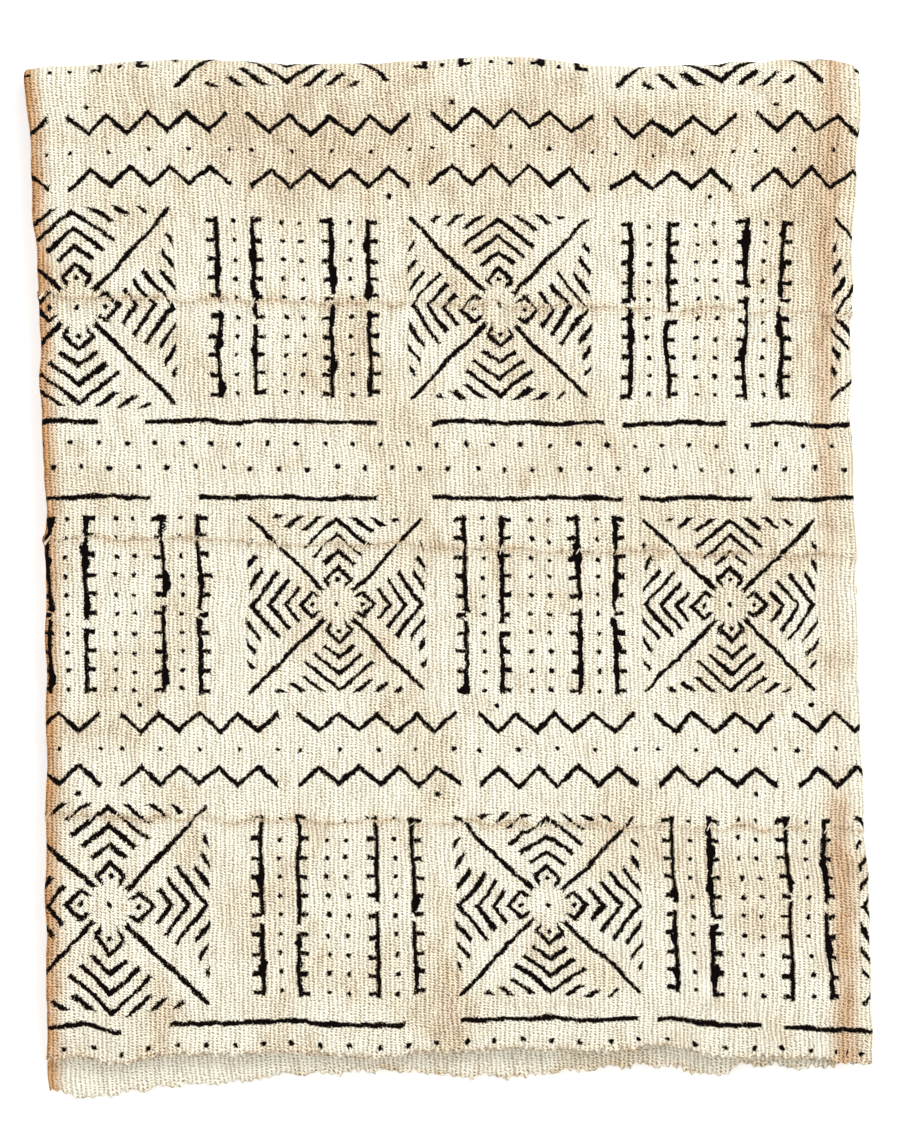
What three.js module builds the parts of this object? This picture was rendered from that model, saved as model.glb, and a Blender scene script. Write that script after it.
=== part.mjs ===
// A hand-woven cotton cloth of eight narrow strips sewn edge to edge. It is folded in half twice
// along its strips, then once across them, and lies flat with the thick last fold at the top.
// Millimetres. +Z is up, +X runs along the strips and +Y points to the thick fold. The origin is
// on the surface that the cloth lies on, under the middle of its outline.

import * as THREE from 'three';

// The cloth when it is spread out
const THICKNESS = 1.6;
const SEAM_GAP = 0.36;
const STRIPS = [
  { name: 'strip_1', width: 115, steps: 3 },
  { name: 'strip_2', width: 136, steps: 3 },
  { name: 'strip_3', width: 117.5, steps: 3 },
  { name: 'strip_4', width: 138, steps: 2 },
  { name: 'strip_5', width: 117, steps: 2 },
  { name: 'strip_6', width: 115, steps: 2 },
  { name: 'strip_7', width: 112, steps: 2 },
  { name: 'strip_8', width: 113, steps: 2 },
];

// The folded stack
const PITCH = 2.8;
const HALF_WIDTH = 200;
const LAYERS_IN_HALF = 4;
const TOP_FOLD_Y = 473.5;
const MID_Z = PITCH * (LAYERS_IN_HALF - 0.5) + THICKNESS / 2;
const SMALL_TURN = PITCH / 2;
const LARGE_TURN = PITCH * 1.5;
const RUN_LEFT = -HALF_WIDTH + SMALL_TURN + THICKNESS / 2;
const RUN_RIGHT = HALF_WIDTH - LARGE_TURN - THICKNESS / 2;
const SECOND_LAYER_INSET = 9;
const BOTTOM_LAYER_REACH = 2.2;
const SMALL_TURN_STEPS = 6;
const LARGE_TURN_STEPS = 8;
const TOP_FOLD_STEPS = 9;
const SHEAR_REACH = 25;

// Where a run is cut into steps, as shares of its length from left to right
const FINE = [0, 0.04, 0.12, 0.21, 0.3, 0.4, 0.5, 0.6, 0.7, 0.79, 0.87, 0.925, 0.955, 1];
const COARSE = [0, 0.06, 0.2, 0.4, 0.6, 0.8, 0.925, 1];

// How the outline strays from a rectangle: what is added to x at each side, by height y
const SIDES = [
  { y: -23, left: 5.5, right: 7 },
  { y: 0, left: 2.6, right: 6.8 },
  { y: 40, left: 2.6, right: 6.4 },
  { y: 79, left: 2.6, right: 5 },
  { y: 118, left: 2.6, right: 2 },
  { y: 133, left: 2.6, right: 3 },
  { y: 180, left: 2.6, right: -0.4 },
  { y: 230, left: 2.2, right: -0.9 },
  { y: 271, left: 1.9, right: -1.9 },
  { y: 318, left: -0.1, right: -4.3 },
  { y: 370, left: -1.1, right: -3.8 },
  { y: 420, left: -4.5, right: -2.4 },
  { y: 452, left: -5.6, right: 0 },
  { y: 474, left: -8.9, right: 0.6 },
];

// What is added to y along the top fold, by place x
const TOP_EDGE = [
  { x: -200, rise: -3.2 },
  { x: -171, rise: -1.5 },
  { x: -146, rise: 1 },
  { x: -112, rise: 1.5 },
  { x: -66, rise: -1 },
  { x: -34, rise: -0.5 },
  { x: -5, rise: 1.6 },
  { x: 24, rise: 2.9 },
  { x: 49, rise: 2.2 },
  { x: 73, rise: -1.5 },
  { x: 98, rise: -2.4 },
  { x: 122, rise: -1 },
  { x: 151, rise: 0.7 },
  { x: 185, rise: 1.2 },
  { x: 200, rise: -1 },
];

// What is added to y along the front half's loose edge and the back half's, by place x
const FRONT_EDGE = [
  { x: -200, rise: -4.2 },
  { x: -181, rise: -2 },
  { x: -165, rise: -7.4 },
  { x: -149, rise: -2 },
  { x: -122, rise: -1.5 },
  { x: -85, rise: 0 },
  { x: -49, rise: -2.9 },
  { x: -10, rise: 0 },
  { x: 34, rise: 2 },
  { x: 59, rise: 0 },
  { x: 105, rise: 2.6 },
  { x: 119, rise: -1.5 },
  { x: 171, rise: -3.9 },
  { x: 205, rise: -6.3 },
];
const BACK_EDGE = [
  { x: -198, rise: -8.6 },
  { x: -190, rise: -11.9 },
  { x: -171, rise: -10.4 },
  { x: -146, rise: -5.6 },
  { x: -102, rise: -4.1 },
  { x: -88, rise: 0.6 },
  { x: -34, rise: 1.6 },
  { x: 20, rise: -1.7 },
  { x: 63, rise: 3.2 },
  { x: 105, rise: 4.7 },
  { x: 117, rise: -1.7 },
  { x: 139, rise: 5 },
  { x: 205, rise: 1 },
];
const EDGE_FADE = 95;
const TOP_FADE = 120;

// How far the rows of the front half sink at their right end, by height y
const ROW_FALL = [
  { y: 0, fall: 0 },
  { y: 115, fall: 7 },
  { y: 250, fall: 9.5 },
  { y: 368, fall: 8.5 },
  { y: 474, fall: 0 },
];

// How the stack's height strays from level, as shares of the height
const LEFT_ROLL = { width: 16, sink: 0.1 };
const RIGHT_VALLEY = { inset: 17, width: 9, sink: 0.075 };
const LOWER_DROOP = { start: 30, end: -26, sink: 0.38 };
const WAVES = { share: 0.016, length_x: 61, length_y: 74 };

const CREAM = 0xe9e0c9;

const clamp = (value) => Math.min(Math.max(value, 0), 1);
const smooth = (value) => clamp(value) ** 2 * (3 - 2 * clamp(value));

// Straight lines between a table's rows: the column's value at a place on the key column.
function read(table, key, place, column) {
  const next = table.findIndex((row) => row[key] >= place);
  if (next === 0) return table[0][column];
  if (next < 0) return table.at(-1)[column];
  const [low, high] = [table[next - 1], table[next]];
  return THREE.MathUtils.mapLinear(place, low[key], high[key], low[column], high[column]);
}

// A straight run of the section, at a layer's height, from one x to another.
function run(start, end, layer, shares) {
  const forward = end > start;
  const list = forward ? shares : shares.map((share) => 1 - share).reverse();
  return list.map((share) => ({
    x: THREE.MathUtils.lerp(start, end, share),
    height: layer * PITCH,
    normalX: 0,
    normalHeight: forward ? 1 : -1,
  }));
}

// A half turn of the section about a centre, without its two end points.
function turn(x, layer, radius, startDegrees, endDegrees, steps) {
  const side = endDegrees > startDegrees ? -1 : 1;
  return Array.from({ length: steps - 1 }, (_, i) => {
    const degrees = THREE.MathUtils.lerp(startDegrees, endDegrees, (i + 1) / steps);
    const angle = THREE.MathUtils.degToRad(degrees);
    return {
      x: x + radius * Math.cos(angle),
      height: layer * PITCH + radius * Math.sin(angle),
      normalX: side * Math.cos(angle),
      normalHeight: side * Math.sin(angle),
    };
  });
}

// The stations with their slack: the radius at which the thick fold takes up cloth there. It is
// the mean radius within the shear reach along the section, so that the back half's rows shift
// from one layer to the next gently and not in the turn alone.
function withSlack(stations) {
  const sums = [{ length: 0, area: 0 }];
  for (let i = 1; i < stations.length; i += 1) {
    const [a, b] = [stations[i - 1], stations[i]];
    const step = Math.hypot(b.x - a.x, b.height - a.height);
    const area = (step * (a.height + b.height)) / 2;
    sums.push({ length: sums[i - 1].length + step, area: sums[i - 1].area + area });
  }
  return stations.map((station, i) => {
    const low = Math.max(sums[i].length - SHEAR_REACH, 0);
    const high = Math.min(sums[i].length + SHEAR_REACH, sums.at(-1).length);
    const area = read(sums, 'length', high, 'area') - read(sums, 'length', low, 'area');
    return { ...station, slack: PITCH / 2 + area / (high - low) };
  });
}

// The back-and-forth section of one half: heights are above its lowest layer's middle.
function section() {
  return [
    run(RUN_LEFT + SECOND_LAYER_INSET, RUN_RIGHT, 1, COARSE),
    turn(RUN_RIGHT, 1.5, SMALL_TURN, -90, 90, SMALL_TURN_STEPS),
    run(RUN_RIGHT, RUN_LEFT, 2, COARSE),
    turn(RUN_LEFT, 2.5, SMALL_TURN, 270, 90, SMALL_TURN_STEPS),
    run(RUN_LEFT, RUN_RIGHT, 3, FINE),
    turn(RUN_RIGHT, 1.5, LARGE_TURN, 90, -90, LARGE_TURN_STEPS),
    run(RUN_RIGHT, RUN_LEFT - BOTTOM_LAYER_REACH, 0, FINE),
  ].flat();
}

// The share of the stack's level height that is left at a place.
function loft(x, y) {
  const left = -HALF_WIDTH + read(SIDES, 'y', y, 'left');
  const right = HALF_WIDTH + read(SIDES, 'y', y, 'right');
  const roll = LEFT_ROLL.sink * smooth(1 - (x - left) / LEFT_ROLL.width);
  const valleyPlace = (right - RIGHT_VALLEY.inset - x) / RIGHT_VALLEY.width;
  const valley = RIGHT_VALLEY.sink * Math.exp(-(valleyPlace ** 2));
  const span = LOWER_DROOP.start - LOWER_DROOP.end;
  const droop = LOWER_DROOP.sink * smooth((LOWER_DROOP.start - y) / span);
  const waves = WAVES.share * Math.sin(x / WAVES.length_x) * Math.cos(y / WAVES.length_y);
  return 1 - roll - valley - droop + waves;
}

// A point of the tidy fold moved to where the uneven cloth has it. Back is 0 in the front half
// and 1 in the back half.
function settle(x, y, z, back) {
  const across = clamp((x + HALF_WIDTH) / (2 * HALF_WIDTH));
  const left = read(SIDES, 'y', y, 'left');
  const right = read(SIDES, 'y', y, 'right');
  const lower = smooth(1 - y / EDGE_FADE);
  const upper = smooth((y - TOP_FOLD_Y + TOP_FADE) / TOP_FADE);
  const front = lower * read(FRONT_EDGE, 'x', x, 'rise') - across * read(ROW_FALL, 'y', y, 'fall');
  const rear = lower * read(BACK_EDGE, 'x', x, 'rise');
  const top = upper * read(TOP_EDGE, 'x', x, 'rise');
  const newX = x + THREE.MathUtils.lerp(left, right, across);
  const newY = y + top + THREE.MathUtils.lerp(front, rear, back);
  return [newX, newY, z * loft(newX, newY)];
}

// A point of the cloth: a station of the section, the distance v across the strips from the
// front edge, and the face, 1 for the painted one and -1 for the other.
function place(station, v, face) {
  const radius = station.height + PITCH / 2;
  const reach = radius + (face * THICKNESS * station.normalHeight) / 2;
  const angle = Math.PI * clamp((v - TOP_FOLD_Y) / (Math.PI * radius));
  const past = angle < Math.PI ? 0 : v - TOP_FOLD_Y - Math.PI * station.slack;
  const x = station.x + (face * THICKNESS * station.normalX) / 2;
  const y = Math.min(v, TOP_FOLD_Y) + reach * Math.sin(angle) - past;
  return settle(x, y, MID_Z + reach * Math.cos(angle), angle / Math.PI);
}

// One strip from v to v + width: a thin slab folded as a whole, closed on its four edges.
function stripGeometry(stations, start, width, steps) {
  const columns = stations.map((station) => stripRows(station, start, width, steps));
  const points = columns.flatMap((rows, i) => (
    rows.flatMap((v) => [place(stations[i], v, -1), place(stations[i], v, 1)])
  ));
  const count = columns[0].length;
  const at = (i, j, face) => (i * count + j) * 2 + face;
  const index = [];
  const quad = (a, b, c, d) => index.push(a, b, c, a, c, d);
  const last = stations.length - 1;
  const top = count - 1;
  for (let i = 0; i < last; i += 1) {
    for (let j = 0; j < top; j += 1) {
      quad(at(i, j, 1), at(i + 1, j, 1), at(i + 1, j + 1, 1), at(i, j + 1, 1));
      quad(at(i, j, 0), at(i, j + 1, 0), at(i + 1, j + 1, 0), at(i + 1, j, 0));
    }
    quad(at(i, 0, 0), at(i + 1, 0, 0), at(i + 1, 0, 1), at(i, 0, 1));
    quad(at(i, top, 0), at(i, top, 1), at(i + 1, top, 1), at(i + 1, top, 0));
  }
  for (let j = 0; j < top; j += 1) {
    quad(at(0, j, 0), at(0, j, 1), at(0, j + 1, 1), at(0, j + 1, 0));
    quad(at(last, j, 0), at(last, j + 1, 0), at(last, j + 1, 1), at(last, j, 1));
  }
  const geometry = new THREE.BufferGeometry();
  geometry.setAttribute('position', new THREE.Float32BufferAttribute(points.flat(), 3));
  geometry.setIndex(index);
  geometry.computeVertexNormals();
  return geometry;
}

// The v of each row of a strip at a station: even steps, or where the strip has the thick fold,
// even steps up to the fold and then even angles round it, with the last row just past it.
function stripRows(station, start, width, steps) {
  const [low, high] = [start + SEAM_GAP / 2, start + width - SEAM_GAP / 2];
  const even = (end) => (
    Array.from({ length: steps + 1 }, (_, j) => THREE.MathUtils.lerp(low, end, j / steps))
  );
  if (low > TOP_FOLD_Y || high < TOP_FOLD_Y) return even(high);
  const arc = Math.PI * (station.height + PITCH / 2);
  const round = Array.from({ length: TOP_FOLD_STEPS - 1 }, (_, j) => (
    TOP_FOLD_Y + (arc * (j + 1)) / TOP_FOLD_STEPS
  ));
  return [...even(TOP_FOLD_Y), ...round, high];
}

function clothMaterial() {
  return new THREE.MeshStandardMaterial({ color: CREAM, roughness: 0.92, metalness: 0 });
}

function foldedCloth() {
  const cloth = new THREE.Group();
  const stations = withSlack(section());
  let start = 0;
  for (const { name, width, steps } of STRIPS) {
    const mesh = new THREE.Mesh(stripGeometry(stations, start, width, steps), clothMaterial());
    mesh.name = name;
    cloth.add(mesh);
    start += width;
  }
  const middle = new THREE.Box3().setFromObject(cloth).getCenter(new THREE.Vector3());
  cloth.position.set(-middle.x, -middle.y, 0);
  return cloth;
}

export default foldedCloth();
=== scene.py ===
"""A painted cotton cloth of eight woven strips, sewn edge to edge and folded flat.

Lengths are millimetres until a mesh is made, and metres from there on. u runs along the strips and
is the same as x on the top layer, v runs across them from the front edge over the thick fold to
the loose edge of the back half.
"""

import math

import bpy
import numpy as np
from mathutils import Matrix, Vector


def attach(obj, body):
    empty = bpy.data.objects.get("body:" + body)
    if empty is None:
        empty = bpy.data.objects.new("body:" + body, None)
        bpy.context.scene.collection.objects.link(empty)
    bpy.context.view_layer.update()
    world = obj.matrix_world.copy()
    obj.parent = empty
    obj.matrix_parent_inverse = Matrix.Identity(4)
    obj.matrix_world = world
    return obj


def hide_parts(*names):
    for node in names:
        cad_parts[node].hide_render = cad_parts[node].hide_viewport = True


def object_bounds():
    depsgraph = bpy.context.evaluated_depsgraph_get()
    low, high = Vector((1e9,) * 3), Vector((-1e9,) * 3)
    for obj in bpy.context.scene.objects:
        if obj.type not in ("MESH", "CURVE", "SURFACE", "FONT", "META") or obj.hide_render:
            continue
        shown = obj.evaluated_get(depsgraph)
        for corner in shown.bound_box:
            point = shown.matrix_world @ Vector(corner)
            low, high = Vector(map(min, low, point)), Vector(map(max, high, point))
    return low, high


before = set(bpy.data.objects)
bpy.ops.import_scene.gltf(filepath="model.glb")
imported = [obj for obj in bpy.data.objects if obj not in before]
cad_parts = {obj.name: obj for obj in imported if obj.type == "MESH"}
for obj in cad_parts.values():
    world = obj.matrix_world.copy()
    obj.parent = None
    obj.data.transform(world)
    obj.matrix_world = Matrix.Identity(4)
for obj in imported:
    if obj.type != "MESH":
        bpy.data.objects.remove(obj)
CAD_BOX = [list(corner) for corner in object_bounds()]

MM = 0.001

# The cloth and its fold, as the solids have them
THICKNESS = 1.6
PITCH = 2.8
HALF_WIDTH = 200
TOP_FOLD_V = 473.5
MID_Z = PITCH * 3.5 + THICKNESS / 2
SMALL_TURN = PITCH / 2
LARGE_TURN = PITCH * 1.5
RUN_LEFT = -HALF_WIDTH + SMALL_TURN + THICKNESS / 2
RUN_RIGHT = HALF_WIDTH - LARGE_TURN - THICKNESS / 2
SECOND_LAYER_INSET = 9
BOTTOM_LAYER_REACH = 2.2
SHEAR_REACH = 25
SHEAR_EASE = 40

STRIP_WIDTHS = {
    "strip_1": 115,
    "strip_2": 136,
    "strip_3": 117.5,
    "strip_4": 138,
    "strip_5": 117,
    "strip_6": 115,
    "strip_7": 112,
    "strip_8": 113,
}
CLOTH_WIDTH = sum(STRIP_WIDTHS.values())

# How the outline strays from a rectangle
SIDES = {
    "y": (-23, 0, 40, 79, 118, 133, 180, 230, 271, 318, 370, 420, 452, 474),
    "left": (5.5, 2.6, 2.6, 2.6, 2.6, 2.6, 2.6, 2.2, 1.9, -0.1, -1.1, -4.5, -5.6, -8.9),
    "right": (7, 6.8, 6.4, 5, 2, 3, -0.4, -0.9, -1.9, -4.3, -3.8, -2.4, 0, 0.6),
}
TOP_EDGE = {
    "x": (-200, -171, -146, -112, -66, -34, -5, 24, 49, 73, 98, 122, 151, 185, 200),
    "rise": (-3.2, -1.5, 1, 1.5, -1, -0.5, 1.6, 2.9, 2.2, -1.5, -2.4, -1, 0.7, 1.2, -1),
}
FRONT_EDGE = {
    "x": (-200, -181, -165, -149, -122, -85, -49, -10, 34, 59, 105, 119, 171, 205),
    "rise": (-4.2, -2, -7.4, -2, -1.5, 0, -2.9, 0, 2, 0, 2.6, -1.5, -3.9, -6.3),
}
BACK_EDGE = {
    "x": (-198, -190, -171, -146, -102, -88, -34, 20, 63, 105, 117, 139, 205),
    "rise": (-8.6, -11.9, -10.4, -5.6, -4.1, 0.6, 1.6, -1.7, 3.2, 4.7, -1.7, 5, 1),
}
ROW_FALL = {"y": (0, 115, 250, 368, 474), "fall": (0, 7, 9.5, 8.5, 0)}
EDGE_FADE = 95
TOP_FADE = 120
FALL_EASE = 20
TABLE_EASE = 6
LEAST_HEIGHT = 0.02

LEFT_ROLL = {"width": 16, "sink": 0.1}
RIGHT_VALLEY = {"inset": 17, "width": 9, "sink": 0.075}
LOWER_DROOP = {"start": 30, "end": -26, "sink": 0.38}
WAVES = {"share": 0.016, "length_x": 61, "length_y": 74}
EXPOSED = {"inner": 0.25, "back": 0.15, "ease": 30}

# How uneven the cloth lies: rows of a ripple's size in millimetres, its length and its seed. The
# dents of the loft are shares of the stack's height.
RIPPLE_WAVES = 14
LOFT_DENTS = ((0.01, 45, 11), (0.008, 19, 12))
SIDEWAYS_STRAY = ((0.5, 30, 21),)
UPWARD_STRAY = ((0.4, 26, 22),)
SEAM_WANDER = ((1.0, 22, 40), (0.4, 7, 60))
SURFACE_DENTS = ((0.17, 14, 33), (0.12, 6, 34))

# The weave: a rib for each weft, with the warp's floats staggered on it
RIB = 2.15
FLOAT = 1.35
RIB_HEIGHT = 0.12

# The seams: strips sewn edge to edge with slanting stitches
SEAM_GAP = 0.08
STITCH_PITCH = 5.2
STITCH_REACH = 2.3
STITCH_SLANT = 1.3
STITCH_SHIFT = (-1, 1)
STITCH_SLANTS = (0.4, 1.5)
STITCH_REACHES = (0.75, 1.25)
STITCH_ARCH, STITCH_SINK = 0.4, 0.55
THREAD_RADIUS = 0.42
SEAM_PULL = 9
RIDGE = {"rise": 0.85, "inset": 0.5, "spread": 3, "even": 0.9, "lumps": 0.7, "length": 8}
RIDGE_STRETCH = 0.3
PUCKERS = {"rise": 0.45, "reach": 6, "length": 7, "stretch": 0.15}

# The two loose edges: how uneven they are, and the loops of weft along them
LOOSE_EDGE = {"depth": 2, "waves": 0.75, "change": 0.4, "change_length": 15}
SCALLOPS = {"rise": 0.9, "length": 10}
LOOP_PITCH = 4.3
LOOP_REACH = 1.0
LOOP_RADIUS = 0.7
LOOP_INSET = 0.5
LOOP_SHIFT = (-0.5, 0.5)
LOOP_REACHES = (0.2, 1.3)
LOOP_HALVES = (0.42, 0.62)
LOOP_LIFTS = (-0.1, 0.5)
TUBE_STATIONS, TUBE_SIDES, TUBE_TAPER = 5, 4, 0.35

# The grid of the meshes
FINE_STEP = RIB / 4
COARSE_STEP = 4.5
ROW_STEP = 5
EDGE_ROWS = (0, 0.3, 0.8, 1.5, 2.6, 4.2)
FOLD_STEPS = 12
TAIL_ROWS = 5
EDGE_ROUND, EDGE_LEAST = 0.6, 0.4

# The whole image of the photograph is 903 x 1136, and one of its pixels is this many millimetres
PIXEL = 0.488
IMAGE_WIDTH, IMAGE_HEIGHT = 903, 1136
PICTURE_CENTRE_X = 450
PICTURE_CENTRE_Y = 568
FRONT_EDGE_PIXEL = 1052


def smooth(value):
    """0 below 0 and 1 above 1, with an easy curve between."""
    value = np.clip(value, 0, 1)
    return value * value * (3 - 2 * value)


def read(table, key, column, at, ease=TABLE_EASE):
    """A table's column at places on its key column: straight lines between rows, averaged over
    a stretch of twice the ease."""
    shifts = np.linspace(-ease, ease, 7)
    return np.mean([np.interp(at + shift, table[key], table[column]) for shift in shifts], axis=0)


def ripple(x, y, length, seed):
    """Smooth noise, mostly from -1 to 1: a sum of plane waves with random headings and phases
    and lengths near the given one, over the root of their number."""
    random = np.random.default_rng(seed)
    total = 0
    for _ in range(RIPPLE_WAVES):
        heading, phase = random.uniform(0, 2 * np.pi, 2)
        rate = 2 * np.pi / (length * random.uniform(0.7, 1.6))
        total = total + np.sin(rate * (x * np.cos(heading) + y * np.sin(heading)) + phase)
    return total / math.sqrt(RIPPLE_WAVES)


def ripples(x, y, kinds):
    """The sum of ripples, one for each row of size, length and seed."""
    return sum(size * ripple(x, y, length, seed) for size, length, seed in kinds)


class Course:
    """The section of one half of the fold, as arrays with one value for each column of the mesh:
    x, height over the lowest layer's middle, the normal's two parts, the length u along the
    cloth and the slack, the radius at which the thick fold takes up cloth there."""

    PARTS = ("x", "height", "normal_x", "normal_height", "slack")

    def __init__(self, top_step, bottom_step):
        pieces = [
            self.run(RUN_LEFT + SECOND_LAYER_INSET, RUN_RIGHT, 1, COARSE_STEP),
            self.turn(RUN_RIGHT, 1.5, SMALL_TURN, -90, 90),
            self.run(RUN_RIGHT, RUN_LEFT, 2, COARSE_STEP),
            self.turn(RUN_LEFT, 2.5, SMALL_TURN, 270, 90),
            self.run(RUN_LEFT, RUN_RIGHT, 3, top_step),
            self.turn(RUN_RIGHT, 1.5, LARGE_TURN, 90, -90),
            self.run(RUN_RIGHT, RUN_LEFT - BOTTOM_LAYER_REACH, 0, bottom_step),
        ]
        self.x, self.height, self.normal_x, self.normal_height = np.concatenate(pieces, axis=1)
        steps = np.hypot(np.diff(self.x), np.diff(self.height))
        length = np.concatenate([[0], np.cumsum(steps)])
        before_top = sum(piece.shape[1] for piece in pieces[:4])
        self.u = length - length[before_top] + RUN_LEFT
        middles = (self.height[1:] + self.height[:-1]) / 2
        area = np.concatenate([[0], np.cumsum(steps * middles)])
        low = np.clip(length - SHEAR_REACH, 0, length[-1])
        high = np.clip(length + SHEAR_REACH, 0, length[-1])
        mean = (np.interp(high, length, area) - np.interp(low, length, area)) / (high - low)
        self.slack = PITCH / 2 + mean

    def at(self, u):
        """The section's parts at places u along the cloth, in arrays of u's shape."""
        return {part: np.interp(u, self.u, getattr(self, part)) for part in self.PARTS}

    @staticmethod
    def run(start, end, layer, step):
        """A straight run: columns at even steps from its left end, the last step cut short."""
        left, right = min(start, end), max(start, end)
        x = np.append(np.arange(left, right - step / 3, step), right)
        if end < start:
            x = x[::-1]
        side = 1 if end > start else -1
        flat = np.ones_like(x)
        return np.array([x, layer * PITCH * flat, 0 * flat, side * flat])

    @staticmethod
    def turn(x, layer, radius, start, end):
        """A half turn about a centre, without its two end points."""
        steps = max(8, round(np.pi * radius / FINE_STEP))
        angle = np.radians(np.linspace(start, end, steps + 1)[1:-1])
        side = -1 if end > start else 1
        return np.array([
            x + radius * np.cos(angle),
            layer * PITCH + radius * np.sin(angle),
            side * np.cos(angle),
            side * np.sin(angle),
        ])


def loft(x, y):
    """The share of the stack's level height that is left at a place."""
    left = -HALF_WIDTH + read(SIDES, "y", "left", y)
    right = HALF_WIDTH + read(SIDES, "y", "right", y)
    roll = LEFT_ROLL["sink"] * smooth(1 - (x - left) / LEFT_ROLL["width"])
    place = (right - RIGHT_VALLEY["inset"] - x) / RIGHT_VALLEY["width"]
    valley = RIGHT_VALLEY["sink"] * np.exp(-(place**2))
    span = LOWER_DROOP["start"] - LOWER_DROOP["end"]
    droop = LOWER_DROOP["sink"] * smooth((LOWER_DROOP["start"] - y) / span)
    waves = WAVES["share"] * np.sin(x / WAVES["length_x"]) * np.cos(y / WAVES["length_y"])
    return 1 - roll - valley - droop + waves + ripples(x, y, LOFT_DENTS)


def settle(x, y, z, back):
    """Moves points of the tidy fold to where the uneven cloth has them: the sides' and edges'
    tables are added, the front rows sink to the right, and the height is scaled by the loft."""
    across = np.clip((x + HALF_WIDTH) / (2 * HALF_WIDTH), 0, 1)
    left = read(SIDES, "y", "left", y)
    right = read(SIDES, "y", "right", y)
    lower = smooth(1 - y / EDGE_FADE)
    upper = smooth((y - TOP_FOLD_V + TOP_FADE) / TOP_FADE)
    fall = across * read(ROW_FALL, "y", "fall", y, ease=FALL_EASE)
    front = lower * read(FRONT_EDGE, "x", "rise", x) - fall
    rear = lower * read(BACK_EDGE, "x", "rise", x)
    top = upper * read(TOP_EDGE, "x", "rise", x)
    new_x = x + left + (right - left) * across + ripples(x, y, SIDEWAYS_STRAY)
    new_y = y + top + front + (rear - front) * back + ripples(x, y, UPWARD_STRAY)
    return np.stack([new_x, new_y, z * loft(new_x, new_y)], axis=-1)


def place(section, v, offset):
    """Points of the cloth at a section's parts and at each v, off its middle surface by an
    offset along its normal. Round the thick fold a point turns about the fold's line at the
    radius of its layer, and past it the layer runs back by what the fold has not taken up."""
    radius = section["height"] + PITCH / 2
    reach = radius + offset * section["normal_height"]
    angle = np.clip((v - TOP_FOLD_V) / radius, 0, np.pi)
    past = np.maximum(v - TOP_FOLD_V - np.pi * radius, 0)
    shear = np.pi * (radius - section["slack"]) * smooth(past / SHEAR_EASE)
    x = section["x"] + offset * section["normal_x"] + 0 * v
    y = np.minimum(v, TOP_FOLD_V) + reach * np.sin(angle) - past - shear
    points = settle(x, y, MID_Z + reach * np.cos(angle), angle / np.pi)
    points[..., 2] = np.maximum(points[..., 2], LEAST_HEIGHT)
    return points


def seam_wander(u, seam):
    """How far a seam strays from its straight line at each place u along it."""
    return ripples(u, 0 * u, [(size, length, seed + seam) for size, length, seed in SEAM_WANDER])


def stray(u, v, low, high, number):
    """What is added to v near a strip's two long edges. Sewn edges follow the seam's wander. A
    loose edge waves with each pair of ribs and has uneven scallops."""
    total = 0
    for seam, edge in ((number, abs(v - low)), (number + 1, abs(high - v))):
        if 0 < seam < len(STRIP_WIDTHS):
            total = total + seam_wander(u, seam) * np.exp(-((edge / SEAM_PULL) ** 2))
        else:
            side = 1 if seam == 0 else -1
            change = ripple(u, 0 * u, LOOSE_EDGE["change_length"], seed=73 + seam)
            size = LOOSE_EDGE["waves"] + LOOSE_EDGE["change"] * change
            scallops = SCALLOPS["rise"] * ripple(u, 0 * u, SCALLOPS["length"], seed=71 + seam)
            waves = size * np.cos(np.pi * u / RIB) + scallops
            total = total + side * waves * np.exp(-((edge / LOOSE_EDGE["depth"]) ** 2))
    return total


def strip_rows(course, low, high):
    """The v of each row of a strip, one line for each column: close rows at the two edges, even
    ones between, and where the strip has the thick fold even angles round it."""
    inner = np.arange(low + EDGE_ROWS[-1], high - EDGE_ROWS[-1], ROW_STEP)[1:]
    rows = np.concatenate([low + np.array(EDGE_ROWS), inner, high - np.array(EDGE_ROWS[::-1])])
    if low > TOP_FOLD_V or high < TOP_FOLD_V:
        return np.tile(rows, (len(course.x), 1))
    flat = rows[rows < TOP_FOLD_V - 1]
    radius = course.height[:, None] + PITCH / 2
    bend = TOP_FOLD_V + np.pi * radius * np.arange(FOLD_STEPS + 1) / FOLD_STEPS
    tail = np.linspace(0, 1, TAIL_ROWS)[1:] * (high - bend[:, -1:]) + bend[:, -1:]
    return np.concatenate([np.tile(flat, (len(course.x), 1)), bend, tail], axis=1)


def taper(edge):
    """The share of the thickness at a distance from a strip's long edge: round at the edge."""
    return np.sqrt(np.clip(1 - (1 - np.clip(edge / EDGE_ROUND, 0, 1)) ** 2, EDGE_LEAST, 1))


def relief(u, v, edge):
    """How far the middle surface stands off: a low ridge along each edge where the strips are
    sewn, small puckers that run into it, and slow dents."""
    ridge = RIDGE["rise"] * np.exp(-((edge - RIDGE["inset"]) ** 2) / RIDGE["spread"])
    lumps = ripple(u, RIDGE_STRETCH * v, RIDGE["length"], seed=31)
    puckers = PUCKERS["rise"] * np.exp(-edge / PUCKERS["reach"])
    puckers = puckers * ripple(u, v * PUCKERS["stretch"], PUCKERS["length"], seed=32)
    dents = ripples(u, v, SURFACE_DENTS)
    return ridge * (RIDGE["even"] + RIDGE["lumps"] * lumps) + puckers + dents


def exposure(section, v):
    """How freely the cloth can stand off at a place: fully on the uppermost layer, little between
    the others and hardly on the lowest ones, which lie under the weight of the rest."""
    top = smooth(section["height"] / PITCH - 2)
    back = smooth((v - TOP_FOLD_V) / EXPOSED["ease"])
    return (EXPOSED["inner"] + (1 - EXPOSED["inner"]) * top) * (1 - (1 - EXPOSED["back"]) * back)


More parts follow.
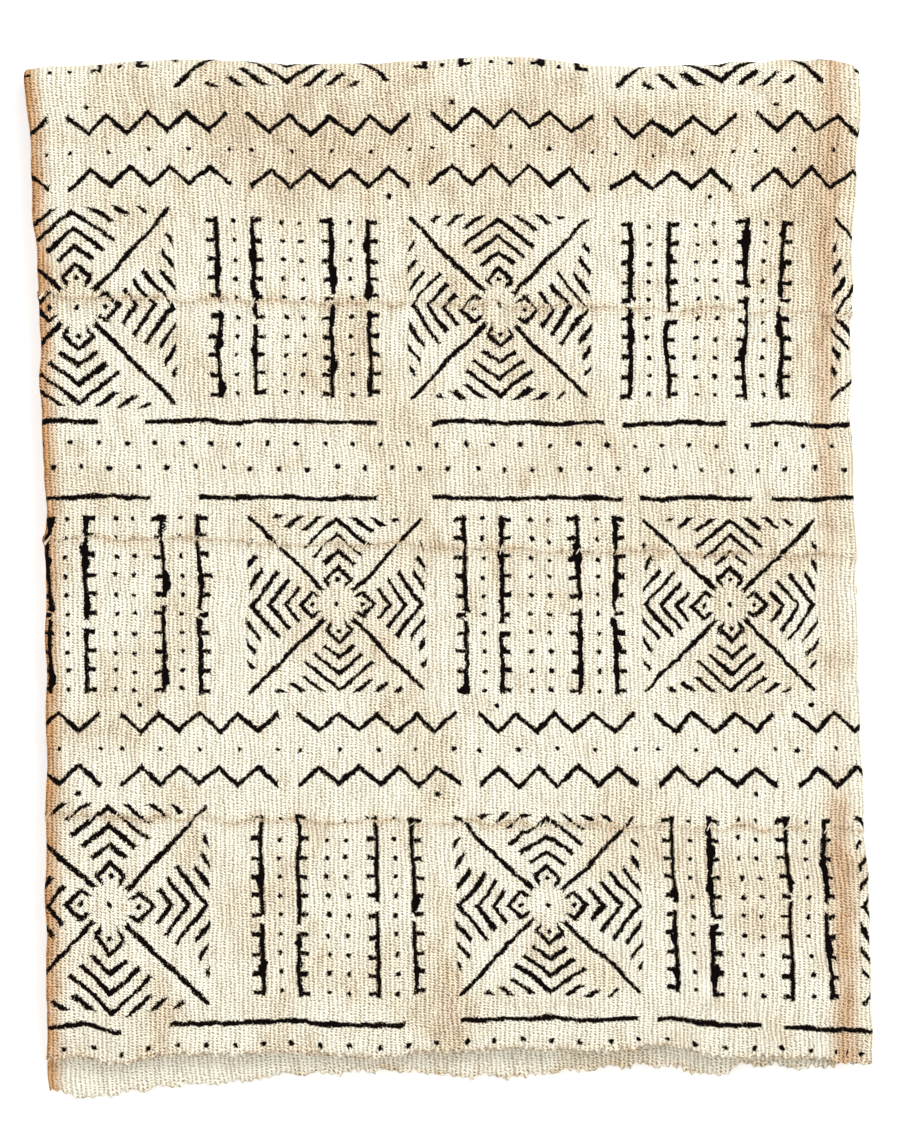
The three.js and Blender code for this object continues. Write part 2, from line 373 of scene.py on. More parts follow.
# Tan spots by place on the cloth, their sizes and strengths: the cloth is darker there. The last
# one is the bare band at the back's loose edge, which is paler than the rest.
TAN_SPOTS = (
    {"u": -105, "v": 461, "wide": 13, "high": 22, "share": 0.8},
    {"u": 10, "v": 445, "wide": 190, "high": 42, "share": 0.22},
    {"u": -76, "v": 450, "wide": 36, "high": 30, "share": 0.8},
    {"u": -20, "v": 444, "wide": 30, "high": 36, "share": 0.55},
    {"u": 75, "v": 452, "wide": 30, "high": 24, "share": 0.35},
    {"u": -146, "v": 14, "wide": 9, "high": 22, "share": 0.6},
    {"u": -5, "v": 16, "wide": 10, "high": 30, "share": 0.7},
    {"u": 30, "v": 235, "wide": 40, "high": 26, "share": 0.25},
    {"u": -52, "v": 345, "wide": 22, "high": 30, "share": 0.3},
    {"u": 96, "v": 268, "wide": 16, "high": 34, "share": 0.35},
    {"u": 44, "v": 291, "wide": 42, "high": 17, "share": 0.45},
    {"u": 176, "v": 420, "wide": 20, "high": 56, "share": 0.95},
    {"u": -90, "v": 262, "wide": 24, "high": 20, "share": 0.3},
    {"u": 565, "v": 955, "wide": 60, "high": 25, "share": -0.6},
)

# The folds' brown, both staining and painted shade, and how the painted rows stray from straight
# ones: from where hidden rows repeat the ones before, how far rows sink to the right, and where
# the last diamond stands
REPEAT_FROM, REPEAT = 566, 296.4
RIGHT_FOLD = {"x": 187, "width": 6, "share": 0.6, "even": 0.2, "low": 0.8, "high": 0.5}
LOW_STAIN_AND_SHADE, HIGH_STAIN_AND_SHADE = {"v": 95, "ease": 65}, {"v": 215, "ease": 115}
LEFT_FOLD = {"x": -202, "width": 13, "share": 1.25}
ROW_DRIFT = 8.5
ROW_STRAY_U, ROW_STRAY_V = ((0.45, 42, 91),), ((0.42, 38, 92),)
LAST_DIAMOND = {"u": 181, "ease": 13, "v": 130, "shift": 17}


def tan_spot_field(u, v):
    """How much darker tan the cloth is at each place: a soft spot for each row of the table."""
    total = 0 * u * v
    for spot in TAN_SPOTS:
        aside, up = (u - spot["u"]) / spot["wide"], (v - spot["v"]) / spot["high"]
        total = total + spot["share"] * np.exp(-(aside**2) - up**2)
    return total


def fold_stain_and_shade_field(x, v):
    """How brown the folds are, as staining and painted shade: the shaded side of the left one's
    roll all along, and the shaded flank of the crease near the right one mostly low down and high
    up."""
    place = (x - RIGHT_FOLD["x"]) / RIGHT_FOLD["width"]
    low = 1 - smooth((v - LOW_STAIN_AND_SHADE["v"]) / LOW_STAIN_AND_SHADE["ease"])
    high = smooth((v - HIGH_STAIN_AND_SHADE["v"]) / HIGH_STAIN_AND_SHADE["ease"])
    along = RIGHT_FOLD["even"] + RIGHT_FOLD["low"] * low + RIGHT_FOLD["high"] * high
    left = 1 - smooth((x - LEFT_FOLD["x"]) / LEFT_FOLD["width"])
    return left * LEFT_FOLD["share"] + np.exp(-(place**2)) * along * RIGHT_FOLD["share"]


def marks_place(u, v):
    """Where each point of the cloth lies in the painter's straight rows. The rows on the front
    sink to the right, all stray a little, and the hidden ones repeat those before them. The
    lowest row's last diamond stands nearer than its spacing."""
    across = (u + HALF_WIDTH) / (2 * HALF_WIDTH)
    sunk = across * ROW_DRIFT * np.sin(np.pi * v / TOP_FOLD_V) * (v < TOP_FOLD_V)
    turns = np.maximum(np.ceil((v - REPEAT_FROM) / REPEAT), 0)
    last = smooth((u - LAST_DIAMOND["u"]) / LAST_DIAMOND["ease"]) * (v < LAST_DIAMOND["v"])
    new_u = u + ripples(u, v, ROW_STRAY_U) + LAST_DIAMOND["shift"] * last
    return new_u, v - sunk - turns * REPEAT + ripples(u, v, ROW_STRAY_V)


def add_mesh(name, points, quads, maps, fields):
    """A smooth mesh from arrays: points in millimetres, quads of point numbers, maps of a pair of
    numbers for each point and fields of one number for each point."""
    mesh = bpy.data.meshes.new(name)
    mesh.vertices.add(len(points))
    mesh.vertices.foreach_set("co", (points * MM).astype(np.float32).ravel())
    corners = quads.astype(np.int32).ravel()
    mesh.loops.add(len(corners))
    mesh.loops.foreach_set("vertex_index", corners)
    mesh.polygons.add(len(quads))
    mesh.polygons.foreach_set("loop_start", np.arange(0, len(corners), 4, dtype=np.int32))
    mesh.polygons.foreach_set("loop_total", np.full(len(quads), 4, dtype=np.int32))
    mesh.polygons.foreach_set("use_smooth", np.ones(len(quads), dtype=bool))
    for map_name, pairs in maps.items():
        layer = mesh.uv_layers.new(name=map_name)
        layer.uv.foreach_set("vector", pairs[corners].astype(np.float32).ravel())
    for field_name, values in fields.items():
        field = mesh.attributes.new(field_name, "FLOAT", "POINT")
        field.data.foreach_set("value", values.astype(np.float32).ravel())
    mesh.update(calc_edges=True)
    mesh.validate()
    piece = bpy.data.objects.new(name, mesh)
    bpy.context.scene.collection.objects.link(piece)
    return piece


def slab_quads(columns, rows):
    """The quads of a closed slab of two grids, the outer one first: both faces, the two long
    edges and the two ends."""
    outer = np.arange(columns * rows).reshape(columns, rows)
    inner = outer + columns * rows

    def patch(grid):
        corners = grid[:-1, :-1], grid[1:, :-1], grid[1:, 1:], grid[:-1, 1:]
        return np.stack(corners, axis=-1).reshape(-1, 4)

    def wall(first, second):
        corners = first[:-1], first[1:], second[1:], second[:-1]
        return np.stack(corners, axis=-1).reshape(-1, 4)

    return np.concatenate([
        patch(outer),
        patch(inner)[:, ::-1],
        wall(inner[:, 0], outer[:, 0]),
        wall(outer[:, -1], inner[:, -1]),
        wall(outer[0], inner[0]),
        wall(inner[-1], outer[-1]),
    ])


def make_strip(number, name, course, start, width):
    """One strip: the two faces of the cloth, half a thickness off the middle surface each."""
    low, high = start + SEAM_GAP / 2, start + width - SEAM_GAP / 2
    v = strip_rows(course, low, high)
    u = course.u[:, None] + 0 * v
    section = course.at(course.u[:, None])
    edge = np.minimum(v - low, high - v)
    rib = RIB_HEIGHT * np.cos(2 * np.pi * u / RIB)
    middle = relief(u, v, edge) * exposure(section, v)
    half = (THICKNESS / 2 - RIB_HEIGHT + rib) * taper(edge)
    real_v = v + stray(u, v, low, high, number)
    faces = [place(section, real_v, middle + half), place(section, real_v, middle - half)]
    points = np.concatenate([face.reshape(-1, 3) for face in faces])
    pairs = np.stack([u, v], axis=-1).reshape(-1, 2) * MM
    marks = np.stack(marks_place(u, v), axis=-1).reshape(-1, 2) * MM
    maps = {"cloth": np.concatenate([pairs, pairs]), "marks": np.concatenate([marks, marks])}
    fields = {
        "edge": np.tile(edge.ravel(), 2),
        "tan_share": np.tile(tan_spot_field(u, v).ravel(), 2),
        # How brown the folds are: staining, and painted shade on the left fold's roll and the
        # right crease
        "fold": np.tile(fold_stain_and_shade_field(section["x"] + 0 * v, v).ravel(), 2),
        "painted": np.repeat([1.0, 0.0], u.size),
    }
    return add_mesh(name, points, slab_quads(*u.shape), maps, fields)


def make_cloth():
    """All eight strips."""
    fine_top = Course(FINE_STEP, COARSE_STEP)
    fine_bottom = Course(COARSE_STEP, FINE_STEP)
    plain = Course(COARSE_STEP, COARSE_STEP)
    courses = dict.fromkeys(STRIP_WIDTHS, plain)
    courses.update(dict.fromkeys(list(STRIP_WIDTHS)[:4], fine_top))
    courses["strip_8"] = fine_bottom
    strips, start = [], 0
    for number, (name, width) in enumerate(STRIP_WIDTHS.items()):
        strips.append(make_strip(number, name + "_cloth", courses[name], start, width))
        start += width
    return strips


def tubes(section_at, u, v, real_v, lift, radius, t):
    """Points of many short tubes along the cloth, four sides round. u, v and lift have a line for
    each tube and a column for each station, and lift is off the middle surface. v is not used."""
    angle = (2 * np.pi * (np.arange(TUBE_SIDES) + 0.5) / TUBE_SIDES)[None, None, :]
    thin = radius * (1 - TUBE_TAPER * t**4)
    wide_u = u[..., None] + thin * np.cos(angle)
    flat = 0 * wide_u
    heights = lift[..., None] + thin * np.sin(angle)
    return place(section_at(wide_u), real_v[..., None] + flat, heights)


def tube_quads(count, stations):
    """The walls and the two ends of many four-sided tubes."""
    grid = np.arange(count * stations * TUBE_SIDES).reshape(count, stations, TUBE_SIDES)
    turned = np.roll(grid, -1, axis=2)
    corners = grid[:, :-1], turned[:, :-1], turned[:, 1:], grid[:, 1:]
    walls = np.stack(corners, axis=-1).reshape(-1, 4)
    return np.concatenate([walls, grid[:, 0, ::-1], grid[:, -1]])


def add_tubes(name, course, u, v, real_v, lift, radius, t):
    """A mesh of many short tubes of thread that lie on the cloth."""
    points = tubes(course.at, u, v, real_v, lift, radius, t[..., None]).reshape(-1, 3)
    pairs = np.stack([u, v], axis=-1)[:, :, None, :] + np.zeros((1, 1, TUBE_SIDES, 1))
    maps = {"cloth": pairs.reshape(-1, 2) * MM}
    return add_mesh(name, points, tube_quads(*u.shape), maps, {})


def make_seam(number, course, v):
    """The stitches of one seam on the painted face: each a short slanting tube that leaves the
    cloth on one side of the seam, arches over it and goes back in on the other."""
    random = np.random.default_rng(80 + number)
    count = int((course.u[-1] - course.u[0]) / STITCH_PITCH) - 1
    first = course.u[0] + STITCH_PITCH * (np.arange(count) + 1)
    first = first + random.uniform(*STITCH_SHIFT, count)
    slant = STITCH_SLANT * random.uniform(*STITCH_SLANTS, count)
    reach = STITCH_REACH * random.uniform(*STITCH_REACHES, count)
    t = np.linspace(-1, 1, TUBE_STATIONS)[None, :]
    u = first[:, None] + slant[:, None] * t
    along = v + reach[:, None] * t
    surface = relief(u, along, abs(along - v)) * exposure(course.at(u), along) + THICKNESS / 2
    lift = surface + STITCH_ARCH * (1 - t**2) - STITCH_SINK * t**6
    real_v = along + seam_wander(u, number)
    return add_tubes(f"seam_{number}_thread", course, u, along, real_v, lift, THREAD_RADIUS, t)


def make_seams():
    """The seams between neighbouring strips."""
    course = Course(COARSE_STEP, COARSE_STEP)
    ends = np.cumsum(list(STRIP_WIDTHS.values()))
    return [make_seam(number, course, v) for number, v in enumerate(ends[:-1], start=1)]


def make_loops(name, v, side, seed):
    """The loops of weft along a loose edge: each a short arc of yarn that stands out from it."""
    course = Course(COARSE_STEP, COARSE_STEP)
    random = np.random.default_rng(seed)
    count = int((course.u[-1] - course.u[0]) / LOOP_PITCH) - 2
    first = course.u[0] + LOOP_PITCH * (np.arange(count) + 1.5)
    first = first + random.uniform(*LOOP_SHIFT, count)
    out = LOOP_REACH * random.uniform(*LOOP_REACHES, count)
    half = LOOP_PITCH * random.uniform(*LOOP_HALVES, count)
    t = np.linspace(-1, 1, TUBE_STATIONS)[None, :]
    u = first[:, None] + half[:, None] * t
    along = v + side * (out[:, None] * (1 - t**2) - LOOP_INSET)
    strip = 0 if side < 0 else len(STRIP_WIDTHS) - 1
    edge_v = stray(u, v + 0 * u, 0, CLOTH_WIDTH, strip)
    lift = random.uniform(*LOOP_LIFTS, count)[:, None] + 0 * t
    return add_tubes(name, course, u, along, along + edge_v, lift, LOOP_RADIUS, t)


def centre_on_frame(strips, seams):
    """Slides all meshes level so that the strips' box has its middle where the frame's box has."""
    corners = np.concatenate([np.array(piece.bound_box) for piece in strips])
    middle = (corners.min(axis=0) + corners.max(axis=0)) / 2
    target = (np.array(CAD_BOX[0]) + np.array(CAD_BOX[1])) / 2
    for piece in strips + seams:
        points = np.empty(len(piece.data.vertices) * 3, dtype=np.float32)
        piece.data.vertices.foreach_get("co", points)
        points = points.reshape(-1, 3)
        points[:, :2] += (target - middle)[:2]
        piece.data.vertices.foreach_set("co", points.ravel())
        piece.data.update()
    return (target - middle)[:2]


class Wire:
    """A number's socket in a shader, with arithmetic that adds Math nodes."""

    def __init__(self, shader, socket):
        self.shader, self.socket = shader, socket

    def math(self, operation, *others):
        values = {i: value for i, value in enumerate((self, *others))}
        return self.shader.node("ShaderNodeMath", {"operation": operation}, values)

    def reflected(self, operation, first):
        return self.shader.node("ShaderNodeMath", {"operation": operation}, {0: first, 1: self})

    def __add__(self, other):
        return self.math("ADD", other)

    def __radd__(self, other):
        return self.reflected("ADD", other)

    def __sub__(self, other):
        return self.math("SUBTRACT", other)

    def __rsub__(self, other):
        return self.reflected("SUBTRACT", other)

    def __mul__(self, other):
        return self.math("MULTIPLY", other)

    def __rmul__(self, other):
        return self.reflected("MULTIPLY", other)

    def __truediv__(self, other):
        return self.math("DIVIDE", other)

    def __gt__(self, other):
        return self.math("GREATER_THAN", other)

    def __lt__(self, other):
        return self.math("LESS_THAN", other)

    def __abs__(self):
        return self.math("ABSOLUTE")

    def least(self, *others):
        result = self
        for other in others:
            result = result.math("MINIMUM", other)
        return result

    def most(self, *others):
        result = self
        for other in others:
            result = result.math("MAXIMUM", other)
        return result

    def clamp(self):
        return self.least(1.0).most(0.0)

    def step(self, low, high):
        """0 up to low and 1 from high, with an easy curve between."""
        sockets = {"Value": self, "From Min": low, "From Max": high}
        settings = {"interpolation_type": "SMOOTHSTEP", "clamp": True}
        return self.shader.node("ShaderNodeMapRange", settings, sockets)

    def fold(self, period):
        """The distance to the nearest whole number of periods."""
        return self.math("PINGPONG", period / 2)


class Shader:
    """A material's node tree, with one method that adds any node."""

    def __init__(self, name):
        self.material = bpy.data.materials.new(name)
        self.material.use_nodes = True
        self.tree = self.material.node_tree
        self.tree.nodes.clear()

    def node(self, kind, settings=(), sockets=(), output=0):
        """Adds a node of a type: its settings first, then its sockets' values or links."""
        node = self.tree.nodes.new(kind)
        for name, value in dict(settings).items():
            setattr(node, name, value)
        for name, value in dict(sockets).items():
            if isinstance(value, Wire):
                self.tree.links.new(value.socket, node.inputs[name])
            else:
                node.inputs[name].default_value = value
        return Wire(self, node.outputs[output]) if node.outputs else None

    def field(self, name):
        return self.node("ShaderNodeAttribute", {"attribute_name": name}, output="Fac")

    def uv(self, name):
        """The two numbers of a UV map, in millimetres."""
        pair = {"Vector": self.node("ShaderNodeUVMap", {"uv_map": name})}
        parts = [self.node("ShaderNodeSeparateXYZ", {}, pair, output=axis) for axis in "XY"]
        return [part * (1 / MM) for part in parts]

    def pair(self, x, y):
        return self.node("ShaderNodeCombineXYZ", {}, {"X": x, "Y": y})

    def noise(self, x, y, size, detail):
        """Noise of about 0.2 to 0.8 over two numbers, with features of about that size."""
        sockets = {
            "Vector": self.pair(x, y),
            "Scale": 1 / size,
            "Detail": detail,
        }
        return self.node("ShaderNodeTexNoise", {"noise_dimensions": "2D"}, sockets)

    def chance(self, x, y):
        """A number from 0 to 1 for each pair of numbers, with no order in it."""
        sockets = {"Vector": self.pair(x, y)}
        return self.node("ShaderNodeTexWhiteNoise", {"noise_dimensions": "2D"}, sockets)

    def mix(self, share, low, high):
        """A colour between two: low where the share is 0 and high where it is 1."""
        settings = {"data_type": "RGBA"}
        return self.node("ShaderNodeMix", settings, {0: share, 6: low, 7: high}, output=2)

    def cosine(self, value, period):
        return (value * (2 * math.pi / period)).math("COSINE")

    def sine(self, value, period):
        return (value * (2 * math.pi / period)).math("SINE")


# The painted rows from the front edge up: the height v of each one's middle. Diamonds and combs
# stand at x plus whole numbers of their spacing, and lines and zigzags have their breaks by x.
ROWS = (
    {"kind": "lines", "v": -3.5, "x": 8},
    {"kind": "diamonds", "v": 71.7, "x": 43.9, "spacing": 212.8, "comb_x": 142.5,
     "comb_spacing": 200.6, "size": 1.03},
    {"kind": "zigzags", "v": 147.9, "x": -81},
    {"kind": "diamonds", "v": 218.6, "x": -55.6, "spacing": 192.8, "comb_x": 43.9,
     "comb_spacing": 204.5, "size": 0.98},
    {"kind": "lines", "v": 289.4, "x": 0},
    {"kind": "diamonds", "v": 364, "x": 26.8, "spacing": 207.4, "comb_x": 128.3,
     "comb_spacing": 202.5, "size": 1.02},
    {"kind": "zigzags", "v": 440.2, "x": -98.6},
    {"kind": "diamonds", "v": 522.6, "x": 132.7, "spacing": 207.4, "comb_x": 28.3,
     "comb_spacing": 210.3, "size": 1.15},
    {"kind": "lines", "v": 593.4, "x": 0},
)
ROW_HALVES = {"lines": 20, "diamonds": 44, "zigzags": 20}

# Marks' widths and dots as shares of the brush's half width, and what is added to a dot
CROSS_WIDTH, CROSS_TAPER = 1.14, 0.006
RUNG_WIDTH, RUNG_LUCK = 0.82, 0.3
HOOK_WIDTH, BAR_WIDTH, TOOTH_WIDTH, ZIGZAG_WIDTH, LINE_WIDTH = 0.85, 1.15, 1.05, 1.05, 1.1
COMB_DOT, ZIGZAG_DOT, LINE_DOT = (0.6, 0.5), (0.5, 0.5), (0.6, 0.62)
DOT = 1.15

# Diamonds: distances from the middle. They are larger near the left fold. The rungs keep clear of
# the cross, and past the arrowheads they are short strokes.
GROWTH = {"share": 0.1, "x": -150, "ease": 90}
DIAGONAL = 0.707
RUNG_FIRST, RUNG_PITCH, RUNG_LEAN, RUNG_START = 26.3, 7.9, 0.79, 22
RUNG_CLEAR = {"least": 7.9, "luck": 1.8, "corner": 2, "lean": 45, "ease": 22}
STROKE_FIRST, STROKE_LAST, HATCH_LAST = 7.4, 43.2, 43.6
HATCH_LEAN, HATCH_INNER, HATCH_SLOPE, HATCH_LUCK = 46, 22, 0.27, 2.5
EYE_TIP, EYE_LEAN, EYE_HALF = 18.6, 1, 6.1
HOOK_LEAN, HOOK_LINE, HOOK_START, HOOK_END = 1.15, 5.4, 3.5, 6.7
PUPIL = 12.6
CELL_STEP = 3.7

# Combs
INNER_BAR, OUTER_BAR, BAR_HALF = 19, 37, 42.6
INNER_DOTS, OUTER_DOTS = 4.5, 28.2
TEETH_PITCH, TOOTH = 9.3, 4.7
BAR_END = 1
BAR_BREAK = {"swing": -5.5, "length": 75, "luck": 12, "middle": 4, "half": 2.1}

# Zigzags: breaks from the row's x, with whole zigzags between them
ZIGZAG, ZIGZAG_BREAK, ZIGZAG_RISE = 19.1, 11.1, 8.8
ZIGZAG_GAPS = (-87.5, 0, 87.5, 175, 243.4)
ZIGZAG_SLOPE, ZIGZAG_COSINE, ZIGZAG_END = 0.889, 0.747, 0.8
LONE_DOT_RISE = 21.8

# Long lines: how far they lie from the row's middle, the dots between them, and their breaks by
# place, half their length, and half the shift between the two lines
LINE_RISE = 18.5
LINE_DOTS = {"pitch": 13.9, "rise": 5.9, "middle": 1.9, "stagger": 5}
LINE_GAPS = (
    {"x": -148, "half": 12, "tilt": 12},
    {"x": -21, "half": 13.5, "tilt": -1},
    {"x": 86.5, "half": 4.4, "tilt": 3.5},
    {"x": 149, "half": 5.6, "tilt": 5},
)

# Colours of the paint, of the floats and gaps in pale, stained and folded cloth, and of thread.
# The gaps' dark colours are painted shade in the hollows between floats, and the folds' brown is
# staining and painted shade
INK = (0.0035, 0.0018, 0.0018, 1)
PALE_FLOAT = (0.97, 0.94, 0.82, 1)
PALE_GAP_SHADE = (0.27, 0.2, 0.075, 1)
TAN_FLOAT = (0.94, 0.81, 0.6, 1)
TAN_GAP_SHADE = (0.16, 0.085, 0.028, 1)
FOLD_FLOAT = (0.72, 0.4, 0.18, 1)
FOLD_GAP_SHADE = (0.11, 0.04, 0.012, 1)
THREAD_PALE = (0.9, 0.85, 0.7, 1)
THREAD_TAN = (0.6, 0.42, 0.23, 1)

# The material's noises: their sizes in millimetres, and shifts that keep like ones apart
BROAD, CLOUD, LOAD, SWAY, SHAKE, FINE, STREAK, GRAIN = 60, 15, 11, 9, 4, 2.6, 2.2, 0.85
STREAK_STRETCH = 0.16
FINE_APART, SHAKE_APART, OTHER_SHAKE_APART, LOAD_APART = 200, 500, 700, 900

# How much of each noise is staining, and how the tan gathers: in spots, at seams as soiling and
# painted shade beside the ridges, and on the folds as staining and painted shade
BROAD_STAIN = {"from": 0.44, "over": 0.26, "share": 0.42}
CLOUD_STAIN = {"from": 0.46, "over": 0.3, "share": 0.34}
SPOT_CLOUD, SPOT_EVEN = 1.3, 0.35
SOIL_AND_SHADE_FADE, SOIL_AND_SHADE_CLOUD, SOIL_AND_SHADE_CLEAN = -0.6, 2.2, 0.45
FOLD_CLOUD, FOLD_EVEN = 0.9, 0.5

# How the noises sway the yarns, how deep the gaps in a rib's valley and on its crest are, what is
# added to their depth, and the depths at which a gap starts and is full
PICK_SWAY, PICK_FINE, SLANT_PICK, SLANT_FINE = 0.5, 0.8, 0.45, -1.4
VALLEY_TICK, VALLEY_DEPTH, CREST_TICK, CREST_DEPTH = 0.7, 0.62, 0.28, 0.03
DEEP_GRAIN, DEEP_STREAK, DEEP_STAIN = 1.1, 0.45, 0.2
GAP_START, GAP_SPAN = 0.05, 1.1

# The brush: its half width, how much paint it holds, and how the paint lies on the weave
BRUSH, BRUSH_LOAD, HAND_SHAKE = 1.0, 0.9, 1.1
BLOB = {"from": 0.1, "over": 0.2, "size": 1.3}
SOAK = {"weave": 0.6, "dry": 0.75, "grain": 1.5, "blur": 0.1}
WORN_FADE, WORN_CLOUD = -1.1, 1.7
BARE_FROM = 945

# The surface of cloth and thread
BUMP_WEAVE, BUMP_GRAIN = 0.4, 0.15
ROUGH, ROUGH_INK, SHINE = 0.94, 0.06, 0.04
THREAD_SOIL = {"size": 8, "from": 0.42, "to": 0.68}
TWIST = {"pitch": 0.9, "lean": 0.8, "shade": 0.15}

# The camera and the studio, in metres and watts
CAMERA_RISE, CAMERA_SENSOR, CAMERA_REACH = 2.6, 36, 50
FLOOR_HALF, FLOOR_GAP, FLOOR_TONE, FLOOR_GLOW = 6, 0.0003, 0.9, 0.3
SKY_STRENGTH = 0.88
LIGHTS = (
    {"name": "key_light", "place": (1.0, 1.3, 2.0), "size": 0.9, "power": 22},
    {"name": "fill_light", "place": (-1.4, -0.6, 2.0), "size": 1.6, "power": 8},
)


class Painting:
    """The painted rows as depths: a mark's depth at a point is how far inside its edge the point
    lies, in millimetres, and below zero outside it. Marks join by the greatest depth and are cut
    by the least."""

    def __init__(self, shader, x, v):
        self.shader, self.x = shader, x
        edges = [
            (low["v"] + ROW_HALVES[low["kind"]] + high["v"] - ROW_HALVES[high["kind"]]) / 2
            for low, high in zip(ROWS, ROWS[1:])
        ]
        self.above = [v > edge for edge in edges]
        self.middle = self.column("v")
        self.height = v - self.middle
        self.upper = self.height > 0

    def by_row(self, values):
        """The value of the row that the point is in: the first one, plus at each edge between
        rows that lies below the point the difference there."""
        total = values[0]
        for above, low, high in zip(self.above, values, values[1:]):
            if high != low:
                total = total + above * (high - low)
        return total

    def column(self, name):
        """A column of the rows' table. Rows without it take the value of a row next to them."""
        values = [row.get(name) for row in ROWS]
        known = next(value for value in values if value is not None)
        for number, value in enumerate(values):
            known = known if value is None else value
            values[number] = known
        return self.by_row(values)

    def is_kind(self, kind):
        """1 in rows of a kind and 0 in others."""
        return self.by_row([1.0 if row["kind"] == kind else 0.0 for row in ROWS])

    def nearest(self, at, spacing):
        """x from the nearest of the places at + whole numbers of the spacing, and that number."""
        turns = (self.x - at) / spacing
        cell = (turns + 0.5).math("FLOOR")
        return (turns - cell) * spacing, cell

    def breaks(self, x, gaps):
        """The distance to the nearest of some places."""
        away = None
        for gap in gaps:
            near = abs(x - gap)
            away = near if away is None else away.least(near)
        return away

    @staticmethod
    def dot(radius, across, up):
        return radius - (across * across + up * up).math("SQRT")

    @staticmethod
    def dot_size(width, kind):
        share, added = kind
        return width * share + added

    def diamond(self, width):
        """A cross of four strokes, and in each quarter a small eye, nested arrowheads and the
        short strokes that their lines become towards the corners."""
        x, cell = self.nearest(self.column("x"), self.column("spacing"))
        size = self.column("size") * (
            1 + GROWTH["share"] - (self.x - GROWTH["x"]).step(0, GROWTH["ease"]) * GROWTH["share"]
        )
        across, up = abs(x) / size, abs(self.height) / size
        long, short = across.most(up), across.least(up)
        slant = long - short
        taper = CROSS_WIDTH - long * CROSS_TAPER
        cross = (width * taper - slant * DIAGONAL).least(long - STROKE_FIRST, STROKE_LAST - long)
        lean = long + short * RUNG_LEAN
        turns = (lean - RUNG_FIRST) / RUNG_PITCH
        rung = (turns + 0.5).math("FLOOR")
        corner = (x > 0) + self.upper * 2 + (across > up) * 4
        luck = self.shader.chance(rung * 8 + corner, cell * CELL_STEP + self.middle)
        off_rung = abs(turns - rung) * (RUNG_PITCH / math.hypot(1, RUNG_LEAN))
        near_corner = (lean - RUNG_CLEAR["lean"]).step(0, RUNG_CLEAR["ease"])
        least = luck * RUNG_CLEAR["luck"] + RUNG_CLEAR["least"]
        clear = slant * DIAGONAL + near_corner * RUNG_CLEAR["corner"] - least
        inner_end = lean * HATCH_SLOPE + luck * HATCH_LUCK + HATCH_INNER
        hatch = long + (lean < HATCH_LEAN) * HATCH_LAST - inner_end
        rungs = (width * (luck * RUNG_LUCK + RUNG_WIDTH) - off_rung).least(lean - RUNG_START)
        rungs = rungs.least(clear, hatch, HATCH_LAST - long)
        eye_line = abs(long + short * EYE_LEAN - EYE_TIP) / math.hypot(1, EYE_LEAN)
        eye = (width - eye_line).least(EYE_HALF - short)
        hook_line = abs(long - short * HOOK_LEAN - HOOK_LINE) / math.hypot(1, HOOK_LEAN)
        hook = (width * HOOK_WIDTH - hook_line).least(short - HOOK_START, HOOK_END - short)
        pupil = self.dot(DOT, long - PUPIL, short)
        return cross.most(rungs, eye, hook, pupil, self.dot(DOT, across, up))

    def comb(self, width, blob):
        """Four upright bars with teeth and a break each, and columns of dots between them."""
        x, cell = self.nearest(self.column("comb_x"), self.column("comb_spacing"))
        luck = self.shader.chance(cell, self.middle)
        across, up = abs(x), abs(self.height)
        bar = abs(across - INNER_BAR).least(abs(across - OUTER_BAR))
        end = BAR_HALF + BAR_END - up
        swing = self.shader.sine(x, BAR_BREAK["length"]) * BAR_BREAK["swing"]
        break_at = abs(self.height + swing + luck * BAR_BREAK["luck"] - BAR_BREAK["middle"])
        bars = (width * BAR_WIDTH + blob - bar).least(end, break_at - BAR_BREAK["half"])
        beat = (self.height + TEETH_PITCH / 2).fold(TEETH_PITCH)
        inward = (INNER_BAR - across).least(across - (INNER_BAR - TOOTH))
        outward = (across - OUTER_BAR).least(OUTER_BAR + TOOTH - across)
        teeth = (width * TOOTH_WIDTH - beat).least(inward.most(outward), end)
        column = abs(across - INNER_DOTS).least(abs(across - OUTER_DOTS))
        dots = self.dot(self.dot_size(width, COMB_DOT), column, beat).least(end)
        return bars.most(teeth, dots)

    def zigzags(self, width):
        """Two mirrored zigzag lines with breaks, dots between them, and a lone dot in the first
        or last bend of each stretch."""
        x = self.x - self.column("x")
        phase = x + (2 * ZIGZAG_BREAK - ZIGZAG_BREAK / 2 - ZIGZAG / 2)
        for gap in ZIGZAG_GAPS:
            phase = phase - (x > gap) * ZIGZAG_BREAK
        away = self.breaks(x, ZIGZAG_GAPS)
        beat = phase.fold(ZIGZAG)
        up = abs(self.height)
        line = abs(up - ZIGZAG_RISE - beat * ZIGZAG_SLOPE) * ZIGZAG_COSINE
        lines = (width * ZIGZAG_WIDTH - line).least(away - ZIGZAG_BREAK / 2 + ZIGZAG_END)
        dots = self.dot(self.dot_size(width, ZIGZAG_DOT), ZIGZAG / 2 - beat, self.height)
        first_bend = ZIGZAG_BREAK / 2 + ZIGZAG / 2
        bend = self.breaks(x - (self.upper * 2 - 1) * first_bend, ZIGZAG_GAPS[::2])
        lone = self.dot(DOT, bend, up - LONE_DOT_RISE)
        return lines.most(dots, lone)

    def lines(self, width):
        """Two long lines with breaks, and two rows of dots between them."""
        side = 1 - self.upper * 2
        x = self.x - self.column("x")
        away = None
        for gap in LINE_GAPS:
            near = abs(x - gap["x"] - side * gap["tilt"]) - gap["half"]
            away = near if away is None else away.least(near)
        up = abs(self.height)
        line = (width * LINE_WIDTH - abs(up - LINE_RISE)).least(away)
        middle = self.height - LINE_DOTS["middle"]
        beat = (x + (middle > 0) * LINE_DOTS["stagger"]).fold(LINE_DOTS["pitch"])
        dots = self.dot(self.dot_size(width, LINE_DOT), abs(middle) - LINE_DOTS["rise"], beat)
        return line.most(dots)

